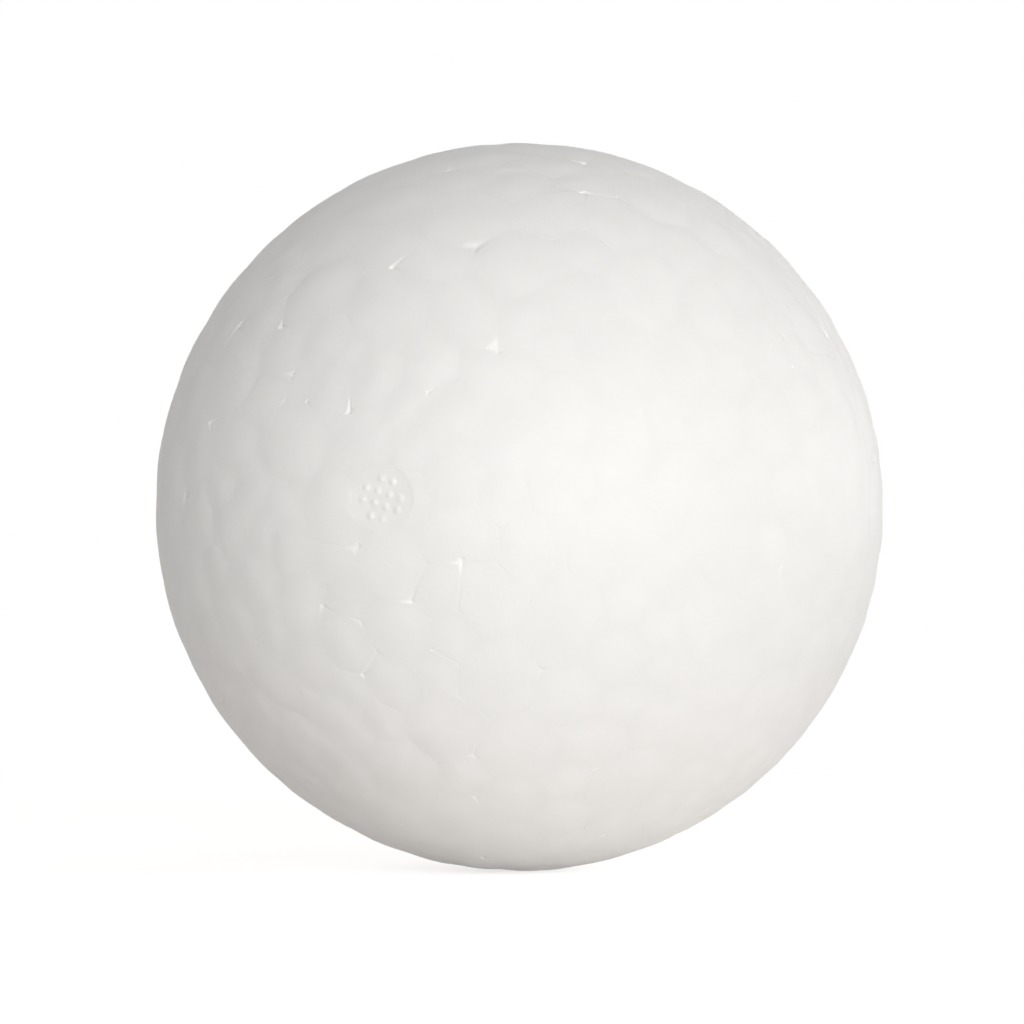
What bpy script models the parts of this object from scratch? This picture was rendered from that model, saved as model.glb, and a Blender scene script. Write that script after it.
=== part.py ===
# Expanded polystyrene craft ball, moulded in one piece.
#
# Pre-expanded beads were blown into a closed two-part mould and steamed until they
# fused, so the surface is a net of beads pressed flat against the mould wall, with
# shallow grooves between them and small open voids where three beads failed to close up.
# Each mould half let its steam in through a core vent, a disc with pinholes, which left
# a round print with a group of raised pips at each end of the Y axis. The halves met in
# the XZ plane, where they left a low parting ridge.
#
# Units are metres, +Z is up, and the origin is the centre of the ball.

import math
import random

import bmesh
import bpy
from mathutils import Matrix, Vector

# Ball
BALL_DIAMETER = 0.060

# Beads: width is across an average bead on the surface
BEAD_WIDTH = 0.0050
BEAD_SEED = 11
BEAD_EVENING_STEPS = 8
NET_EASING_STEPS = 2
GROOVE_WIDTH = 0.00070
GROOVE_DEPTH = 0.00013
SHORTEST_BOUNDARY = 1.4 * GROOVE_WIDTH
BEAD_SHOULDER_DROP = 0.00002

# Voids at bead junctions: (longitude, latitude) in degrees, seen from the front vent print
VOID_WIDTH = 0.0011
VOID_DEPTH = 0.00045
VOID_PLACES = (
    (12, 41), (17, 22), (12, -9), (-4, -7), (-42, 1), (-3, 63), (46, 66), (-4, 37),
    (-37, 28), (-24, 27), (-18, 19), (-6, 13), (-36, 12), (38, 55), (89, 27), (-31, -62),
    (2, -72), (49, -62), (4, -15), (-11, -16),
)
FAR_SIDE_VOIDS = 8

# Parting ridge where the mould halves met
RIDGE_WIDTH = 0.00060
RIDGE_HEIGHT = 0.00008

# Core vent print, all but flush: depth is measured at its edge, turn is that of the pip rows
VENT_DIAMETER = 0.0054
VENT_DEPTH = 0.00010
VENT_SIDES = 32
VENT_TURN = math.radians(-17)

# Pips left by the pinholes of the vent
PIP_ROWS = (2, 4, 4, 2)
PIP_PITCH = 0.00098
PIP_DIAMETER = 0.00060
PIP_TIP_DIAMETER = 0.00036
PIP_HEIGHT = 0.00025
PIP_ROOT = 0.00010
PIP_SIDES = 8

# Looks
FOAM_COLOUR = (0.90, 0.90, 0.88, 1.0)
FOAM_ROUGHNESS = 0.60
SHARP_ANGLE = math.radians(35)

BALL_RADIUS = BALL_DIAMETER / 2
VENT_RADIUS = VENT_DIAMETER / 2
VENT_FLOOR = math.sqrt(BALL_RADIUS ** 2 - VENT_RADIUS ** 2) - VENT_DEPTH
CUTTER_OVERRUN = 0.001


def clear_scene():
    for obj in list(bpy.data.objects):
        bpy.data.objects.remove(obj)


def new_collection(name):
    collection = bpy.data.collections.new(name)
    bpy.context.scene.collection.children.link(collection)
    return collection


def object_from_bmesh(name, shape, collection):
    mesh = bpy.data.meshes.new(name)
    shape.to_mesh(mesh)
    shape.free()
    obj = bpy.data.objects.new(name, mesh)
    collection.objects.link(obj)
    return obj


def foam_material():
    material = bpy.data.materials.new("expanded_polystyrene")
    material.use_nodes = True
    shader = material.node_tree.nodes["Principled BSDF"]
    shader.inputs["Base Color"].default_value = FOAM_COLOUR
    shader.inputs["Roughness"].default_value = FOAM_ROUGHNESS
    shader.inputs["Metallic"].default_value = 0.0
    return material


def direction(longitude, latitude):
    """Unit vector at a longitude and latitude in degrees, with (0, 0) on -Y."""
    lon = math.radians(longitude)
    lat = math.radians(latitude)
    return Vector((math.sin(lon) * math.cos(lat), -math.cos(lon) * math.cos(lat), math.sin(lat)))


# Beads: their centres on a unit sphere, joined by a hull


def hull_of(points):
    hull = bmesh.new()
    for point in points:
        hull.verts.new(point)
    bmesh.ops.convex_hull(hull, input=hull.verts)
    return hull


def bead_centres():
    """Scattered points, evened out by moving each one to the middle of the area round it."""
    bead_area = math.sqrt(3) / 2 * BEAD_WIDTH ** 2
    count = round(math.pi * BALL_DIAMETER ** 2 / bead_area)
    scatter = random.Random(BEAD_SEED)
    points = []
    for _ in range(count):
        point = Vector([scatter.gauss(0, 1) for _ in range(3)])
        points.append(point.normalized())
    for _ in range(BEAD_EVENING_STEPS):
        hull = hull_of(points)
        points = [middle_of_area(vert) for vert in hull.verts]
        hull.free()
    return points


def middle_of_area(vert):
    pull = Vector()
    for face in vert.link_faces:
        pull += face.calc_center_median() * face.calc_area()
    return pull.normalized()


def bead_net(collection):
    """One polygon for each bead: the dual of the hull, made by a Dual Mesh node."""
    guide = object_from_bmesh("bead_centres", hull_of(bead_centres()), collection)
    tree = bpy.data.node_groups.new("bead_net", "GeometryNodeTree")
    tree.interface.new_socket("Geometry", in_out="INPUT", socket_type="NodeSocketGeometry")
    tree.interface.new_socket("Geometry", in_out="OUTPUT", socket_type="NodeSocketGeometry")
    start = tree.nodes.new("NodeGroupInput")
    dual = tree.nodes.new("GeometryNodeDualMesh")
    end = tree.nodes.new("NodeGroupOutput")
    tree.links.new(start.outputs[0], dual.inputs["Mesh"])
    tree.links.new(dual.outputs["Dual Mesh"], end.inputs[0])
    guide.modifiers.new("bead_net", "NODES").node_group = tree
    evaluated = guide.evaluated_get(bpy.context.evaluated_depsgraph_get())
    net = bmesh.new()
    net.from_mesh(evaluated.to_mesh())
    evaluated.to_mesh_clear()
    bpy.data.objects.remove(guide)
    for vert in net.verts:
        vert.co.normalize()
    bmesh.ops.recalc_face_normals(net, faces=net.faces)
    return net


def void_junctions(net):
    """The junctions of the net that stayed open: one at each place, and some at the back."""
    voids = []
    for longitude, latitude in VOID_PLACES:
        place = direction(longitude, latitude)
        junction = min(net.verts, key=lambda vert: (vert.co - place).length)
        junction.co = place
        voids.append(junction)
    free = [vert for vert in net.verts if vert not in voids]
    for _ in range(NET_EASING_STEPS):
        bmesh.ops.smooth_vert(
            net, verts=free, factor=0.5, use_axis_x=True, use_axis_y=True, use_axis_z=True)
    far_side = [vert for vert in free if vert.co.y > 0]
    return voids + random.Random(BEAD_SEED).sample(far_side, FAR_SIDE_VOIDS)


def groove_depths(net, floor, voids):
    """Depth of each point of the groove floor, with the voids kept short by extra points."""
    reach = VOID_WIDTH / 2 / BALL_RADIUS
    depths = {vert: GROOVE_DEPTH for vert in floor}
    for junction in voids:
        arms = [edge for edge in junction.link_edges if edge.other_vert(junction) in depths]
        for edge in arms:
            share = min(reach / edge.calc_length(), 0.5)
            depths[bmesh.utils.edge_split(edge, junction, share)[1]] = GROOVE_DEPTH
    depths.update({junction: VOID_DEPTH for junction in voids})
    return depths


def beaded_ball(collection):
    """The beads, each with a flat shoulder round a slightly domed middle."""
    net = bead_net(collection)
    bmesh.ops.remove_doubles(net, verts=net.verts, dist=SHORTEST_BOUNDARY / BALL_RADIUS)
    voids = void_junctions(net)
    floor = set(net.verts)
    bmesh.ops.inset_individual(
        net, faces=net.faces, thickness=GROOVE_WIDTH / 2 / BALL_RADIUS, use_even_offset=True)
    tops = [face for face in net.faces if not any(vert in floor for vert in face.verts)]
    middles = set(bmesh.ops.poke(net, faces=tops)["verts"])
    depths = groove_depths(net, floor, voids)
    for vert in net.verts:
        drop = 0.0 if vert in middles else depths.get(vert, BEAD_SHOULDER_DROP)
        if at_vent(vert.co.normalized()):
            drop = min(drop, BEAD_SHOULDER_DROP)
        vert.co = vert.co.normalized() * (BALL_RADIUS - drop)
    raise_parting_ridge(net)
    return object_from_bmesh("ball", net, collection)


def at_vent(place):
    """Whether a place on the unit sphere lies under or next to a vent, where grooves closed up."""
    return math.hypot(place.x, place.z) * BALL_RADIUS < VENT_RADIUS + GROOVE_WIDTH


def raise_parting_ridge(shape):
    """Cut three lines round the ball and lift the middle one."""
    half_width = RIDGE_WIDTH / 2
    snap = RIDGE_WIDTH / 5
    for offset in (-half_width, 0.0, half_width):
        for vert in shape.verts:
            if abs(vert.co.y - offset) < snap:
                vert.co.y = offset
        bmesh.ops.bisect_plane(
            shape, geom=shape.verts[:] + shape.edges[:] + shape.faces[:],
            dist=1e-7, plane_co=(0, offset, 0), plane_no=(0, 1, 0))
    for vert in shape.verts:
        if abs(vert.co.y) < 1e-7:
            vert.co += vert.co.normalized() * RIDGE_HEIGHT


# Core vent prints


def along_y(shape, side, distance):
    """Turn a shape made along +Z to point out of the ball on one side, at a distance."""
    turn = Matrix.Rotation(math.radians(90) * side, 4, "X")
    place = Matrix.Translation((0, -side * distance, 0))
    bmesh.ops.transform(shape, matrix=place @ turn, verts=shape.verts)


def vent_recess(side, collection):
    shape = bmesh.new()
    depth = BALL_RADIUS + CUTTER_OVERRUN - VENT_FLOOR
    bmesh.ops.create_cone(
        shape, cap_ends=True, segments=VENT_SIDES, radius1=VENT_RADIUS, radius2=VENT_RADIUS,
        depth=depth, matrix=Matrix.Translation((0, 0, depth / 2)))
    along_y(shape, side, VENT_FLOOR)
    return object_from_bmesh("vent_recess", shape, collection)


def vent_pips(side, collection):
    shape = bmesh.new()
    depth = PIP_ROOT + PIP_HEIGHT
    for row, count in enumerate(PIP_ROWS):
        for column in range(count):
            x = (column - (count - 1) / 2) * PIP_PITCH
            y = ((len(PIP_ROWS) - 1) / 2 - row) * PIP_PITCH
            bmesh.ops.create_cone(
                shape, cap_ends=True, segments=PIP_SIDES,
                radius1=PIP_DIAMETER / 2, radius2=PIP_TIP_DIAMETER / 2,
                depth=depth, matrix=Matrix.Translation((x, y, depth / 2)))
    bmesh.ops.rotate(shape, cent=(0, 0, 0), matrix=Matrix.Rotation(VENT_TURN, 3, "Z"),
                     verts=shape.verts)
    along_y(shape, side, VENT_FLOOR - PIP_ROOT)
    return object_from_bmesh("vent_pips", shape, collection)


def boolean(target, tool, operation):
    modifier = target.modifiers.new(tool.name, "BOOLEAN")
    modifier.operation = operation
    modifier.solver = "EXACT"
    modifier.object = tool
    tool.hide_render = True
    tool.display_type = "WIRE"


def main():
    clear_scene()
    parts = new_collection("polystyrene_ball")
    cutters = new_collection("cutters")
    ball = beaded_ball(parts)
    for side in (1, -1):
        boolean(ball, vent_recess(side, cutters), "DIFFERENCE")
        boolean(ball, vent_pips(side, cutters), "UNION")
    ball.data.materials.append(foam_material())
    ball.data.shade_smooth()
    ball.data.set_sharp_from_angle(angle=SHARP_ANGLE)


main()
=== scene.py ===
import math
import random

import bmesh
import bpy
import numpy as np
from mathutils import Matrix, Vector, noise


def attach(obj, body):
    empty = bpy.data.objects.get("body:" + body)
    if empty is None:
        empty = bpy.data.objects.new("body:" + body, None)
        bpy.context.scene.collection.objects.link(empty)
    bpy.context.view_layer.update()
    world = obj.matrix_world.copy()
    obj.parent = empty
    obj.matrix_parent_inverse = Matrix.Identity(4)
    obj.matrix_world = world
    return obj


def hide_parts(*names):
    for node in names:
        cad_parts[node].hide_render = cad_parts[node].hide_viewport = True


# Moulded ball of expanded polystyrene, on a white sheet in soft studio light.
# Metres, +Z up, the ball's centre at the origin, its mould axis along Y.

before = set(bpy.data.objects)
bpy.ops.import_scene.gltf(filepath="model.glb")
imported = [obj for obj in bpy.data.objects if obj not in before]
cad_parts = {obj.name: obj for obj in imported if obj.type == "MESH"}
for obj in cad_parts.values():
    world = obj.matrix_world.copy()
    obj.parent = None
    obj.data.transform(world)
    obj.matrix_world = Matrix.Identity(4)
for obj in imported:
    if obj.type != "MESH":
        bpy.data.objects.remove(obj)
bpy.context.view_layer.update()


# small helpers

def hexColor(code):
    # sRGB hex to the linear values that Blender's sockets take
    channels = [int(code[i:i + 2], 16) / 255 for i in (1, 3, 5)]
    linear = [c / 12.92 if c <= 0.04045 else ((c + 0.055) / 1.055) ** 2.4 for c in channels]
    return (*linear, 1.0)


def addNode(owner, kind, inputs=None, **settings):
    # inputs: socket name or number -> a value, or another node's output socket
    node = owner.node_tree.nodes.new(kind)
    for name, value in settings.items():
        setattr(node, name, value)
    for name, value in (inputs or {}).items():
        if isinstance(value, bpy.types.NodeSocket):
            owner.node_tree.links.new(value, node.inputs[name])
        else:
            node.inputs[name].default_value = value
    return node


def smoothStep(low, high, value):
    t = np.clip((value - low) / (high - low), 0.0, 1.0)
    return t * t * (3 - 2 * t)


def placeOnBall(longitude, latitude):
    # degrees, seen from the front vent print at -Y
    lon = math.radians(longitude)
    lat = math.radians(latitude)
    return Vector((math.sin(lon) * math.cos(lat), -math.cos(lon) * math.cos(lat), math.sin(lat)))


# camera: the photo looks level, with the vent print a little left of the middle

photoView = {
    "azimuth": 20.6,
    "elevation": -1.3,
    "lens": 150.0,
    "ballRadiusInPixels": 364.4,
    "ballCentreInPixels": (519.4, 506.9),
    "frameSide": 1024,
}

ball = {
    "radius": 0.030,
    "beadWidth": 0.0050,
    "beadSeed": 11,
    "eveningSteps": 8,
    "easingSteps": 2,
    "grooveWidth": 0.00070,     # on the solid
    "shortestBoundary": 1.4,    # in groove widths; junctions closer than this are one
}


def addCamera(look):
    data = bpy.data.cameras.new("camera")
    data.lens = look["lens"]
    camera = bpy.data.objects.new("camera", data)
    bpy.context.scene.collection.objects.link(camera)
    halfSide = look["frameSide"] / 2
    rim = math.atan(look["ballRadiusInPixels"] / halfSide * data.sensor_width / 2 / data.lens)
    distance = ball["radius"] / math.sin(rim)
    azimuth = math.radians(look["azimuth"])
    elevation = math.radians(look["elevation"])
    back = Vector((math.sin(azimuth) * math.cos(elevation),
                   -math.cos(azimuth) * math.cos(elevation), math.sin(elevation)))
    camera.location = back * distance
    camera.rotation_euler = back.to_track_quat("Z", "Y").to_euler()
    data.shift_x = (halfSide - look["ballCentreInPixels"][0]) / look["frameSide"]
    data.shift_y = (look["ballCentreInPixels"][1] - halfSide) / look["frameSide"]
    data.clip_start = 0.01
    bpy.context.scene.camera = camera
    print("camera at", [round(v, 4) for v in camera.location])


addCamera(photoView)


# floor and light

studio = {
    "floorSize": 4.0,
    "floorColor": "#F6F2F0",
    "floorLift": 0.66,          # added where the camera looks, so that the open sheet shows white
    "shadowReach": (0.05, 0.20),    # between these distances the sheet turns plain white
    "surroundColor": "#FFFCFA",
    "surroundLevel": 0.19,
    "brightLevel": 0.16,        # added on the bright side of the room, a broad white wall
    "brightAzimuth": 78,        # from the camera towards its right
    "brightEdge": (-0.35, 0.75),    # where it fades in, as the cosine of the angle from its middle
    "lampColor": "#FFFFFF",
}

# strip boxes that stand on the sheet and a box overhead, width and height in metres;
# azimuth is turned from the camera towards its right
lamps = {
    "front": {"azimuth": 10, "elevation": 5.5, "distance": 0.9, "size": (0.8, 0.24), "power": 4.15},
    "right": {"azimuth": 115, "elevation": 5.5, "distance": 0.9, "size": (0.8, 0.24), "power": 1.45},
    "low": {"azimuth": 40, "elevation": 2, "distance": 0.9, "size": (0.8, 0.10), "power": 1.1},
    "left": {"azimuth": -60, "elevation": 5.5, "distance": 0.9, "size": (0.8, 0.24), "power": 0.55},
    "back": {"azimuth": 180, "elevation": 6, "distance": 1.2, "size": (0.4, 0.24), "power": 2.2},
    "over": {"azimuth": 65, "elevation": 70, "distance": 0.9, "size": (0.8, 0.8), "power": 0.8},
}


def cameraOrMirror(owner):
    # 1 where the camera, a gloss or a clear piece looks, 0 where the light itself is reckoned
    path = addNode(owner, "ShaderNodeLightPath")
    seen = addNode(owner, "ShaderNodeMath", {
        0: path.outputs["Is Camera Ray"], 1: path.outputs["Is Glossy Ray"]}, operation="MAXIMUM")
    return addNode(owner, "ShaderNodeMath", {
        0: seen.outputs[0], 1: path.outputs["Is Transmission Ray"]}, operation="MAXIMUM").outputs[0]


def addFloor(look):
    shape = bmesh.new()
    bmesh.ops.create_grid(shape, x_segments=1, y_segments=1, size=look["floorSize"] / 2)
    mesh = bpy.data.meshes.new("floor")
    shape.to_mesh(mesh)
    shape.free()
    floor = bpy.data.objects.new("floor", mesh)
    bpy.context.scene.collection.objects.link(floor)
    floor.location.z = -ball["radius"]
    # heavy white card, matt
    material = bpy.data.materials.new("whiteCard")
    material.use_nodes = True
    material.node_tree.nodes.clear()
    seen = cameraOrMirror(material)
    card = addNode(material, "ShaderNodeBsdfDiffuse", {"Color": hexColor(look["floorColor"])})
    lift = addNode(material, "ShaderNodeMath", {0: seen, 1: look["floorLift"]}, operation="MULTIPLY")
    glow = addNode(material, "ShaderNodeEmission", {"Strength": lift.outputs[0]})
    near = addNode(material, "ShaderNodeAddShader", {0: card.outputs[0], 1: glow.outputs[0]})
    white = addNode(material, "ShaderNodeEmission", {"Strength": 1.0})
    place = addNode(material, "ShaderNodeTexCoord")
    away = addNode(material, "ShaderNodeVectorMath", {0: place.outputs["Object"]}, operation="LENGTH")
    fade = addNode(material, "ShaderNodeMapRange", {
        "Value": away.outputs["Value"], "From Min": look["shadowReach"][0],
        "From Max": look["shadowReach"][1]}, interpolation_type="SMOOTHSTEP")
    share = addNode(material, "ShaderNodeMath", {0: seen, 1: fade.outputs[0]}, operation="MULTIPLY")
    mixed = addNode(material, "ShaderNodeMixShader", {
        0: share.outputs[0], 1: near.outputs[0], 2: white.outputs[0]})
    addNode(material, "ShaderNodeOutputMaterial", {"Surface": mixed.outputs[0]})
    mesh.materials.append(material)


def addSurround(look):
    world = bpy.data.worlds.new("studioSurround")
    bpy.context.scene.world = world
    world.use_nodes = True
    world.node_tree.nodes.clear()
    azimuth = math.radians(photoView["azimuth"] + look["brightAzimuth"])
    place = addNode(world, "ShaderNodeTexCoord")
    toBright = addNode(world, "ShaderNodeVectorMath", {
        0: place.outputs["Generated"], 1: (math.sin(azimuth), -math.cos(azimuth), 0)},
        operation="DOT_PRODUCT")
    level = addNode(world, "ShaderNodeMapRange", {
        "Value": toBright.outputs["Value"], "From Min": look["brightEdge"][0],
        "From Max": look["brightEdge"][1], "To Min": look["surroundLevel"],
        "To Max": look["surroundLevel"] + look["brightLevel"]}, interpolation_type="SMOOTHSTEP")
    fill = addNode(world, "ShaderNodeBackground", {
        "Color": hexColor(look["surroundColor"]), "Strength": level.outputs[0]})
    white = addNode(world, "ShaderNodeBackground", {"Color": hexColor("#FFFFFF"), "Strength": 1.0})
    mixed = addNode(world, "ShaderNodeMixShader", {
        0: cameraOrMirror(world), 1: fill.outputs[0], 2: white.outputs[0]})
    addNode(world, "ShaderNodeOutputWorld", {"Surface": mixed.outputs[0]})


def addLamp(name, look):
    data = bpy.data.lights.new(name, "AREA")
    data.shape = "RECTANGLE"
    data.size, data.size_y = look["size"]
    data.energy = look["power"]
    data.color = hexColor(studio["lampColor"])[:3]
    lamp = bpy.data.objects.new(name, data)
    bpy.context.scene.collection.objects.link(lamp)
    lamp.visible_camera = False     # a box that stands behind the ball stays out of the picture
    azimuth = math.radians(photoView["azimuth"] + look["azimuth"])
    elevation = math.radians(look["elevation"])
    toLamp = Vector((math.sin(azimuth) * math.cos(elevation),
                     -math.cos(azimuth) * math.cos(elevation), math.sin(elevation)))
    lamp.location = toLamp * look["distance"]
    lamp.rotation_euler = toLamp.to_track_quat("Z", "Y").to_euler()


addFloor(studio)
addSurround(studio)
for lampName, lampLook in lamps.items():
    addLamp(lampName, lampLook)
bpy.context.scene.view_settings.view_transform = "Standard"
print("floor and light ready")


# bead net: the same net as the solid's, one polygon for each bead

voids = {
    # junctions that stayed open: longitude and latitude in degrees, as on the solid, and the
    # rounding, which is how far the corners of the three beads draw back, in mm
    "open": (
        (12, 41, 1.20), (17, 22, 1.10), (12, -9, 0.85), (-4, -7, 1.00), (-42, 1, 0.80),
        (-3, 63, 0.90), (46, 66, 0.90), (-4, 37, 0.80), (-37, 28, 0.80), (-24, 27, 0.70),
        (-18, 19, 0.80), (-6, 13, 0.75), (-36, 12, 0.70), (38, 55, 0.80), (89, 27, 0.90),
        (-31, -62, 0.90), (2, -72, 0.70), (49, -62, 0.70), (4, -15, 0.80), (-11, -16, 0.90),
    ),
    "atTheBack": 8,
    "backRounding": (0.7, 1.2),
    # junctions that are only pinholes: the ones nearest to these places
    "pinholes": (
        (-15, 11), (6, 19), (-36, 40), (54, 53), (7, -23), (-3, -20), (-4, -26), (26, 43),
        (14, -41), (28, -29), (-1, 34), (19, -41), (10, -48), (-28, -20), (-45, -30), (40, 10),
        (64, -12), (70, 22), (98, -20), (130, 15), (160, -30), (-80, 20), (-110, -15), (-140, 35),
    ),
    "pinholeRounding": (0.40, 0.60),
    "closedRounding": (0.02, 0.16),
    # boundaries that opened into a slit: the ones whose middle is nearest to these places
    "slits": (
        (-4, -23), (-25, -22), (110, 30), (150, -10), (-100, 5), (-130, -35),
    ),
    "leastRounding": 0.00002,   # added to every rounding, so that no corner is a crease
    "mostSharpness": 1.2,       # a sharp corner draws back at most this much of the rounding
    "closedTips": 0.00003,      # the thin tips of a void closed up
    "holeFrom": 0.00060,        # from this rounding on, the steam left a round hole too
    "holeShare": 0.34,          # its radius, as a share of the rounding
    "wallSlope": 1.35,          # how steeply its wall falls at the edge
    "floorDepth": 0.00018,
}

mmInMetre = 1000


def hullOf(points):
    hull = bmesh.new()
    for point in points:
        hull.verts.new(point)
    bmesh.ops.convex_hull(hull, input=hull.verts)
    return hull


def middleOfArea(vert):
    pull = Vector()
    for face in vert.link_faces:
        pull += face.calc_center_median() * face.calc_area()
    return pull.normalized()


def beadCentres(look):
    beadArea = math.sqrt(3) / 2 * look["beadWidth"] ** 2
    count = round(math.pi * (2 * look["radius"]) ** 2 / beadArea)
    scatter = random.Random(look["beadSeed"])
    points = []
    for _ in range(count):
        point = Vector([scatter.gauss(0, 1) for _ in range(3)])
        points.append(point.normalized())
    for _ in range(look["eveningSteps"]):
        hull = hullOf(points)
        points = [middleOfArea(vert) for vert in hull.verts]
        hull.free()
    return points


def beadNet(look):
    hull = hullOf(beadCentres(look))
    mesh = bpy.data.meshes.new("beadCentres")
    hull.to_mesh(mesh)
    hull.free()
    guide = bpy.data.objects.new("beadCentres", mesh)
    bpy.context.scene.collection.objects.link(guide)
    tree = bpy.data.node_groups.new("beadNet", "GeometryNodeTree")
    tree.interface.new_socket("Geometry", in_out="INPUT", socket_type="NodeSocketGeometry")
    tree.interface.new_socket("Geometry", in_out="OUTPUT", socket_type="NodeSocketGeometry")
    start = tree.nodes.new("NodeGroupInput")
    dual = tree.nodes.new("GeometryNodeDualMesh")
    end = tree.nodes.new("NodeGroupOutput")
    tree.links.new(start.outputs[0], dual.inputs["Mesh"])
    tree.links.new(dual.outputs["Dual Mesh"], end.inputs[0])
    guide.modifiers.new("beadNet", "NODES").node_group = tree
    evaluated = guide.evaluated_get(bpy.context.evaluated_depsgraph_get())
    net = bmesh.new()
    net.from_mesh(evaluated.to_mesh())
    evaluated.to_mesh_clear()
    bpy.data.objects.remove(guide)
    bpy.data.meshes.remove(mesh)
    bpy.data.node_groups.remove(tree)
    for vert in net.verts:
        vert.co.normalize()
    bmesh.ops.recalc_face_normals(net, faces=net.faces)
    shortestBoundary = look["shortestBoundary"] * look["grooveWidth"]
    bmesh.ops.remove_doubles(net, verts=net.verts, dist=shortestBoundary / look["radius"])
    return net


def openJunctions(net, look, places):
    found = []
    for longitude, latitude, _ in places["open"]:
        place = placeOnBall(longitude, latitude)
        junction = min(net.verts, key=lambda vert: (vert.co - place).length)
        junction.co = place
        found.append(junction)
    free = [vert for vert in net.verts if vert not in found]
    for _ in range(look["easingSteps"]):
        bmesh.ops.smooth_vert(
            net, verts=free, factor=0.5, use_axis_x=True, use_axis_y=True, use_axis_z=True)
    farSide = [vert for vert in free if vert.co.y > 0]
    found += random.Random(look["beadSeed"]).sample(farSide, places["atTheBack"])
    for vert in net.verts:
        vert.co.normalize()
    return found


net = beadNet(ball)
openOnes = openJunctions(net, ball, voids)
print("bead net:", len(net.faces), "beads,", len(net.verts), "junctions")


# skin: every bead drawn out from its boundary to its middle

skin = {
    "boundaryCuts": 3,
    "rings": (0.035, 0.10, 0.23, 0.43, 0.70),       # share of the way from boundary to middle
    "pillowWidth": 0.0020,                  # every bead falls off softly towards its boundary
    "pillowDepth": (0.000035, 0.000110),
    "cornerBlend": 0.00012,                 # near a corner one valley runs into the next
    "lineShare": 0.15,                      # share of the boundaries that show as a fine line
    "lineWidth": 0.00010,
    "lineDepth": (0.000010, 0.000030),
    "linePower": 1.4,                       # above 1 the line has soft edges and a sharp bottom
    "slitWidth": 0.00016,
    "slitDepth": 0.00005,
    "ventMargin": (0.0027, 0.0040),         # next to the vent's edge the lines die out
    "comeAndGo": 0.0016,                    # a line fades in and out over this length
    "comeAndGoEdge": (-0.25, 0.25),
    "beadStep": 0.000007,                   # how unevenly the beads were pressed
    "beadTilt": math.radians(0.9),          # and how far their faces lean
    "shadeFade": 0.0010,                    # a bead's own shade of white runs out towards its boundary
    "swell": 0.000012,                      # slow unevenness of the whole surface
    "swellLength": 0.0070,
    "mottle": 0.000023,                     # finer unevenness inside and across the beads
    "mottleLength": 0.0027,
    "mottleHollowShade": (-0.6, 0.6),              # painted shade: low places drawn a shade darker than high ones
    "grooveShadeFade": (-0.0007, 0.0014),        # a bead takes its border colour over this width, a painted shade in the groove
    "skinDrop": 0.00003,                    # keeps the highest bead inside the mould's sphere
    "leastDrop": 0.00001,                   # and nothing comes closer to it than this
    "wander": 0.00016,                      # how far a boundary strays from straight
    "wanderLength": 0.0035,
    "voidReach": 0.0009,                    # this far round a void the mesh is drawn finer
    "voidDetail": 0.00013,
}

vent = {
    "radius": 0.0027,
    "wall": 0.00028,            # its edge is rounded over this width
    "wallOutside": 0.3,         # and outside the radius over this share of it
    "depth": 0.00007,           # it sat all but flush in the mould
    "turn": math.radians(-17),
    "pipRows": (2, 4, 4, 2),
    "pipPitch": 0.00098,
    "pipRadius": 0.00036,
    "pipHeight": 0.00010,
    "pipPower": 1.6,            # above 1 a pip runs out softly at its foot
    "reach": 0.0032,            # this far round the middle the mesh is drawn finer
    "detail": 0.00012,
    "grooveShare": 0.15,        # how much of the bead grooves shows on the vent's flat face
}

ridge = {
    "width": 0.00060,
    "height": 0.00003,
    "lines": 5,
    "snap": 1 / 40,             # share of the width within which a point counts as on a line
}


def drawBeads(net, look):
    shape = bmesh.new()
    beadOf = shape.faces.layers.int.new("bead")
    border = {vert: shape.verts.new(vert.co) for vert in net.verts}
    for edge in net.edges:
        a, b = edge.verts
        cuts = look["boundaryCuts"]
        border[edge] = [shape.verts.new(a.co.lerp(b.co, step / cuts).normalized())
                        for step in range(1, cuts)]
    for number, face in enumerate(net.faces):
        outline = []
        for loop in face.loops:
            between = border[loop.edge]
            forward = loop.edge.verts[0] == loop.vert
            outline += [border[loop.vert]] + (between if forward else between[::-1])
        middle = shape.verts.new(face.calc_center_median().normalized())
        outer = outline
        for share in look["rings"]:
            inner = [shape.verts.new(vert.co.lerp(middle.co, share).normalized()) for vert in outline]
            for i in range(len(outline)):
                j = (i + 1) % len(outline)
                shape.faces.new((outer[i], outer[j], inner[j], inner[i]))[beadOf] = number
            outer = inner
        for i in range(len(outline)):
            j = (i + 1) % len(outline)
            shape.faces.new((outer[i], outer[j], middle))[beadOf] = number
    bmesh.ops.triangulate(shape, faces=shape.faces)
    return shape


def refine(shape, places, reach, detail, mostHalvings=6):
    # halves every edge longer than detail that lies within reach of one of the places
    radius = ball["radius"]
    for _ in range(mostHalvings):
        near = set()
        for place in places:
            cosine = math.cos(reach / radius)
            for vert in shape.verts:
                if vert.co.dot(place) > cosine * vert.co.length:
                    near.add(vert)
        long = [edge for edge in shape.edges
                if edge.verts[0] in near and edge.verts[1] in near
                and edge.calc_length() * radius > detail]
        if not long:
            break
        bmesh.ops.subdivide_edges(shape, edges=long, cuts=1, use_single_edge=True)
        bmesh.ops.triangulate(shape, faces=[face for face in shape.faces if len(face.verts) > 3])
    for vert in shape.verts:
        vert.co.normalize()


def roundedMin(a, b, rounding):
    # the smaller of two distances, with the corner between their lines rounded off
    overlap = np.maximum(rounding - np.abs(a - b), 0.0) / rounding
    return np.minimum(a, b) - overlap * overlap * rounding / 4


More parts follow.
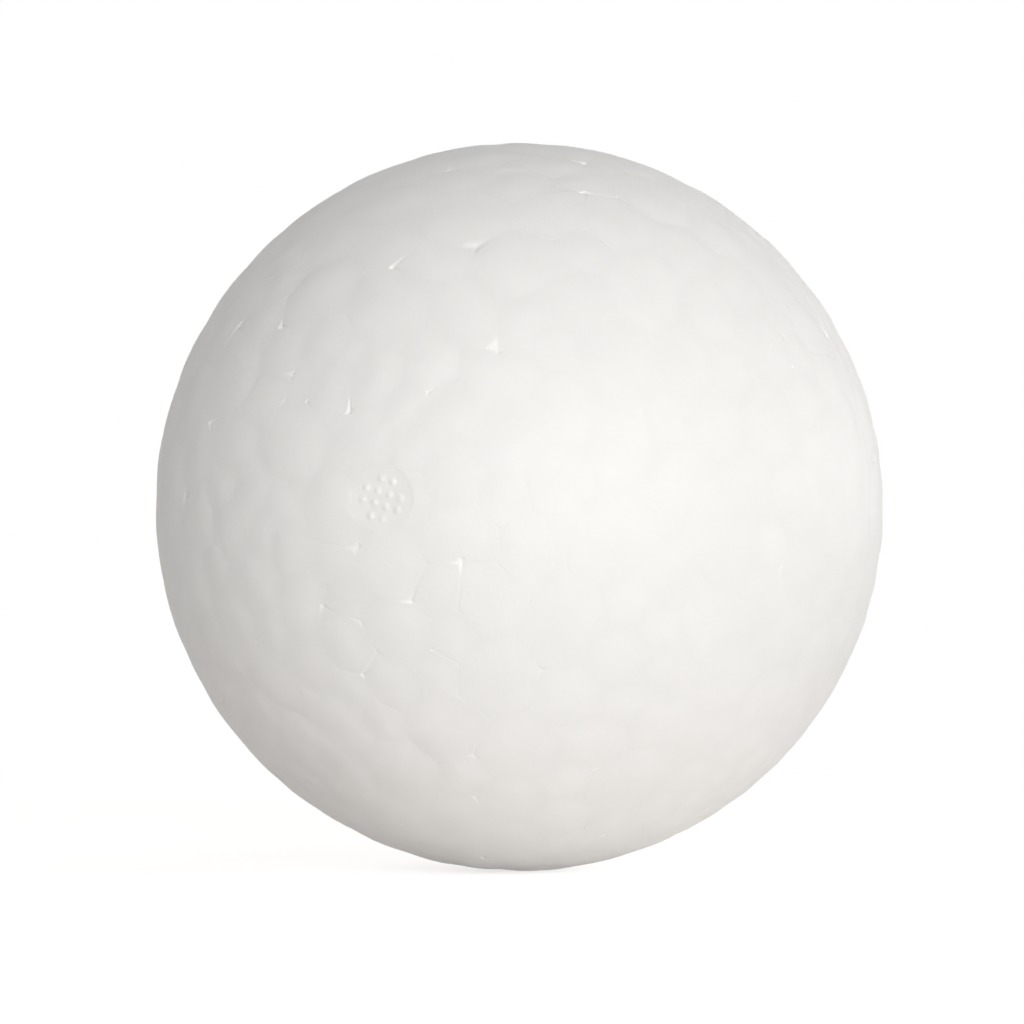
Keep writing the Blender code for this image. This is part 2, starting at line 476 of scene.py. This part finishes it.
def drawBoundaries(net, look, slits, draw):
    # for each boundary the depth of its valley, and the width and depth of its line
    pillows = {}
    lines = {}
    for edge in net.edges:
        pillows[edge] = draw.uniform(*look["pillowDepth"])
        lines[edge] = (look["lineWidth"], 0.0)
        if draw.random() < look["lineShare"]:
            lines[edge] = (look["lineWidth"], draw.uniform(*look["lineDepth"]))
        if edge in slits:
            lines[edge] = (look["slitWidth"], look["slitDepth"])
    return pillows, lines


def drawBack(gaps, face, here, look, rounding):
    # distance from the bead's own edge once its corners are rounded; below zero in a void
    gap = gaps.min(axis=1)
    for k, loop in enumerate(face.loops):
        # 1 where three beads meet evenly; a blunt corner has little to round off
        sharpness = min(look["mostSharpness"], 2 * (1 + math.cos(loop.calc_angle())))
        drawnBack = rounding[loop.vert]
        gap = np.minimum(gap, roundedMin(
            gaps[:, k - 1], gaps[:, k], drawnBack * sharpness + look["leastRounding"]))
        if drawnBack > look["holeFrom"]:
            away = np.linalg.norm(here - np.array(loop.vert.co), axis=1) * ball["radius"]
            gap = np.minimum(gap, away - drawnBack * look["holeShare"])
    return gap


def beadRelief(shape, net, look, rounding, slits):
    # depth of each point below the mould's sphere, its distance from a boundary, its tone and painted
    # shade
    radius = ball["radius"]
    draw = random.Random(ball["beadSeed"] + 1)
    pillows, lines = drawBoundaries(net, look, slits, draw)
    beadOf = shape.faces.layers.int["bead"]
    members = {}
    for vert in shape.verts:
        members.setdefault(vert.link_faces[0][beadOf], []).append(vert.index)
    points = np.array([vert.co for vert in shape.verts])
    fading = np.array([noise.noise(Vector(p) * radius / look["comeAndGo"]) for p in points])
    ventAway = np.hypot(points[:, 0], points[:, 2]) * radius
    fading = smoothStep(*look["comeAndGoEdge"], fading) * smoothStep(*look["ventMargin"], ventAway)
    swell = np.array([noise.noise(Vector(p) * radius / look["swellLength"]) for p in points])
    mottle = np.array([noise.noise(Vector(p) * radius / look["mottleLength"]) for p in points])
    depth = look["skinDrop"] - look["swell"] * swell - look["mottle"] * mottle
    distance = np.zeros(len(points))
    toneAndShade = np.zeros(len(points))
    net.faces.ensure_lookup_table()
    for number, indices in members.items():
        face = net.faces[number]
        here = points[indices]
        inward = np.array([loop.vert.co.cross(loop.link_loop_next.vert.co).normalized()
                           for loop in face.loops])
        gaps = np.maximum(here @ inward.T * radius, 0.0)
        weights = np.exp(-(gaps - gaps.min(axis=1)[:, None]) / look["cornerBlend"])
        weights /= weights.sum(axis=1)[:, None]
        pillow = weights @ np.array([pillows[loop.edge] for loop in face.loops])
        lineWidth = weights @ np.array([lines[loop.edge][0] for loop in face.loops])
        lineDepth = weights @ np.array([lines[loop.edge][1] for loop in face.loops])
        gap = drawBack(gaps, face, here, voids, rounding)
        cut = np.clip(1 - gap / lineWidth, 0.0, 1.0) ** look["linePower"]
        opened = np.minimum(gap + voids["closedTips"], 0.0)
        wall = voids["floorDepth"] * (
            1 - np.exp(opened * voids["wallSlope"] / voids["floorDepth"]))
        middle = np.array(face.calc_center_median().normalized())
        tilt = np.array([draw.gauss(0, look["beadTilt"]) for _ in range(3)])
        step = draw.gauss(0, look["beadStep"])
        raised = smoothStep(0.0, look["pillowWidth"], gap)
        depth[indices] += pillow * (1 - raised) + lineDepth * fading[indices] * cut + wall
        depth[indices] -= ((here - middle) * radius @ tilt + step) * raised
        distance[indices] = np.maximum(gap, 0.0)
        # from 0 to 1: half the bead's own shade, half the mottle, painted shade darker in low places
        beadShade = (draw.random() - 0.5) * smoothStep(0.0, look["shadeFade"], gap)
        toneAndShade[indices] = 0.25 + 0.5 * beadShade + 0.5 * smoothStep(*look["mottleHollowShade"], mottle[indices])
    return points, np.maximum(depth, look["leastDrop"]), distance, toneAndShade


def wandered(points, look):
    # bends the straight boundaries a little, as squeezed beads have them
    radius = ball["radius"]
    noise.seed_set(ball["beadSeed"])        # noise_vector takes its offsets from here
    moved = []
    for point in points:
        sample = Vector(point) * (radius / look["wanderLength"])
        moved.append(noise.noise_vector(sample))
    shifted = points + np.array(moved) * look["wander"] / radius
    return shifted / np.linalg.norm(shifted, axis=1)[:, None]


def pressVent(points, grooves, side, look):
    # points in metres: flattens one end of the mould axis against the vent and raises its pips
    radius = ball["radius"]
    away = np.hypot(points[:, 0], points[:, 2])
    zone = (points[:, 1] * side > 0) & (away < look["reach"])
    x = points[zone, 0] * side
    z = points[zone, 2]
    floorLevel = math.sqrt(radius ** 2 - look["radius"] ** 2) - look["depth"]
    flat = np.full(x.shape, floorLevel)
    turn = look["turn"]
    for row, count in enumerate(look["pipRows"]):
        for column in range(count):
            u = (column - (count - 1) / 2) * look["pipPitch"]
            v = ((len(look["pipRows"]) - 1) / 2 - row) * look["pipPitch"]
            pipX = -(u * math.cos(turn) - v * math.sin(turn)) * side
            pipZ = u * math.sin(turn) + v * math.cos(turn)
            share = np.hypot(x * side - pipX, z - pipZ) / look["pipRadius"]
            flat += look["pipHeight"] * np.clip(1 - share ** 2, 0, 1) ** look["pipPower"]
    flat -= np.maximum(grooves[zone], 0.0) * look["grooveShare"]
    outside = look["radius"] + look["wall"] * look["wallOutside"]
    inside = 1 - smoothStep(look["radius"] - look["wall"], outside, away[zone])
    level = np.abs(points[zone, 1])
    points[zone, 1] = side * (level + (flat - level) * inside)
    return points


def raiseRidge(shape, look):
    # lines cut round the ball where the mould halves met, lifted to a low rounded ridge
    half = look["width"] / 2
    for i in range(look["lines"]):
        offset = -half + look["width"] * i / (look["lines"] - 1)
        bmesh.ops.bisect_plane(
            shape, geom=shape.verts[:] + shape.edges[:] + shape.faces[:],
            dist=look["width"] * look["snap"], plane_co=(0, offset, 0), plane_no=(0, 1, 0))
    for vert in shape.verts:
        across = abs(vert.co.y) / half
        if across < 1:
            vert.co += vert.co.normalized() * look["height"] * (1 - across ** 2)


def nearest(items, place, middle):
    return min(items, key=lambda item: (middle(item) - placeOnBall(*place)).length)


def makeSkin(net, openOnes):
    radius = ball["radius"]
    shape = drawBeads(net, skin)
    pinholes = [nearest(net.verts, place, lambda vert: vert.co) for place in voids["pinholes"]]
    slits = [nearest(net.edges, place, lambda edge: (edge.verts[0].co + edge.verts[1].co) / 2)
             for place in voids["slits"]]
    draw = random.Random(ball["beadSeed"] + 2)
    low, high = voids["closedRounding"]
    rounding = {}
    for vert in net.verts:      # most junctions closed up well, so the squared draw
        rounding[vert] = (low + (high - low) * draw.random() ** 2) / mmInMetre
    for vert in pinholes:
        rounding[vert] = draw.uniform(*voids["pinholeRounding"]) / mmInMetre
    for vert, place in zip(openOnes, voids["open"]):
        rounding[vert] = place[2] / mmInMetre
    for vert in openOnes[len(voids["open"]):]:
        rounding[vert] = draw.uniform(*voids["backRounding"]) / mmInMetre
    openPlaces = [vert.co.copy() for vert in openOnes + pinholes]
    refine(shape, openPlaces, skin["voidReach"], skin["voidDetail"])
    refine(shape, [Vector((0, -1, 0)), Vector((0, 1, 0))], vent["reach"], vent["detail"])
    shape.verts.index_update()
    points, depth, distance, toneAndShade = beadRelief(shape, net, skin, rounding, slits)
    points = wandered(points, skin) * (radius - depth)[:, None]
    grooves = depth - skin["skinDrop"]
    for side in (-1, 1):
        points = pressVent(points, grooves, side, vent)
    # each bead's own random shade, with painted shade in the low places of the mottle
    toneAndShadeLayer = shape.verts.layers.float.new("beadToneAndHollowShade")
    grooveShadeLayer = shape.verts.layers.float.new("outsideGrooveShade")
    for vert, point, shade, gap in zip(shape.verts, points, toneAndShade, distance):
        vert.co = point
        vert[toneAndShadeLayer] = shade
        # painted shade: 0 at a bead boundary, where the darker border colour stands in for shade in
        # the groove
        vert[grooveShadeLayer] = float(smoothStep(*skin["grooveShadeFade"], gap))
    raiseRidge(shape, ridge)
    bmesh.ops.triangulate(shape, faces=[face for face in shape.faces if len(face.verts) > 3])
    bmesh.ops.recalc_face_normals(shape, faces=shape.faces)
    mesh = bpy.data.meshes.new("foamSkin")
    shape.to_mesh(mesh)
    shape.free()
    mesh.shade_smooth()
    obj = bpy.data.objects.new("foamSkin", mesh)
    bpy.context.scene.collection.objects.link(obj)
    print("foam skin:", len(mesh.polygons), "triangles")
    return obj


foamSkin = makeSkin(net, openOnes)
net.free()


# expanded polystyrene, moulded against polished aluminium: white, matt, each bead
# a shade apart from its neighbour, and light sinks about a millimetre into it

# painted shade: the bead boundaries and the low places of the surface are drawn a shade darker
foam = {
    "color": "#F7F7F5",
    # painted shade: a slightly darker white along the bead boundaries, where the grooves would lie in
    # shade
    "grooveShadeColor": "#F5F5F3",
    # how much darker the lowest tone is, the painted shade of low places included
    "toneAndShadeSpread": 0.032,
    "roughness": 0.55,
    "ior": 1.59,
    "sinkIn": 0.0010,
    "sinkColor": (1.0, 0.97, 0.93),     # red light goes the furthest
    "sinkWeight": 0.30,
    "cellSize": 0.00030,        # real cells are about 0.1 mm; drawn coarser so that they show
    "cellDepth": 0.00003,
    "cellBump": 0.15,
}


def foamMaterial(look):
    material = bpy.data.materials.new("expandedPolystyrene")
    material.use_nodes = True
    material.node_tree.nodes.clear()
    # painted shade: the tone darkens low places of the mottle, besides each bead's own random shade
    toneAndShade = addNode(material, "ShaderNodeAttribute", attribute_name="beadToneAndHollowShade")
    # painted shade: the darker border colour is mixed in towards the grooves
    inward = addNode(material, "ShaderNodeAttribute", attribute_name="outsideGrooveShade")
    place = addNode(material, "ShaderNodeTexCoord")
    colorWithGrooveShade = addNode(material, "ShaderNodeMix", {
        "Factor": inward.outputs["Fac"], 6: hexColor(look["grooveShadeColor"]), 7: hexColor(look["color"]),
    }, data_type="RGBA")
    shade = addNode(material, "ShaderNodeMapRange", {
        "Value": toneAndShade.outputs["Fac"], "To Min": 1 - look["toneAndShadeSpread"], "To Max": 1.0})
    colorWithPaintedShade = addNode(material, "ShaderNodeVectorMath", {
        0: colorWithGrooveShade.outputs[2], "Scale": shade.outputs[0]}, operation="SCALE")
    cells = addNode(material, "ShaderNodeTexVoronoi", {
        "Vector": place.outputs["Object"], "Scale": 1 / look["cellSize"]}, feature="F1")
    bump = addNode(material, "ShaderNodeBump", {
        "Height": cells.outputs["Distance"], "Strength": look["cellBump"],
        "Distance": look["cellDepth"]})
    shader = addNode(material, "ShaderNodeBsdfPrincipled", {
        "Base Color": colorWithPaintedShade.outputs[0], "Roughness": look["roughness"], "IOR": look["ior"],
        "Metallic": 0.0, "Subsurface Weight": look["sinkWeight"],
        "Subsurface Radius": look["sinkColor"], "Subsurface Scale": look["sinkIn"],
        "Normal": bump.outputs[0]}, subsurface_method="BURLEY")
    addNode(material, "ShaderNodeOutputMaterial", {"Surface": shader.outputs[0]})
    return material


foamSkin.data.materials.append(foamMaterial(foam))
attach(foamSkin, "root")
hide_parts("ball")
print("foam finish ready")
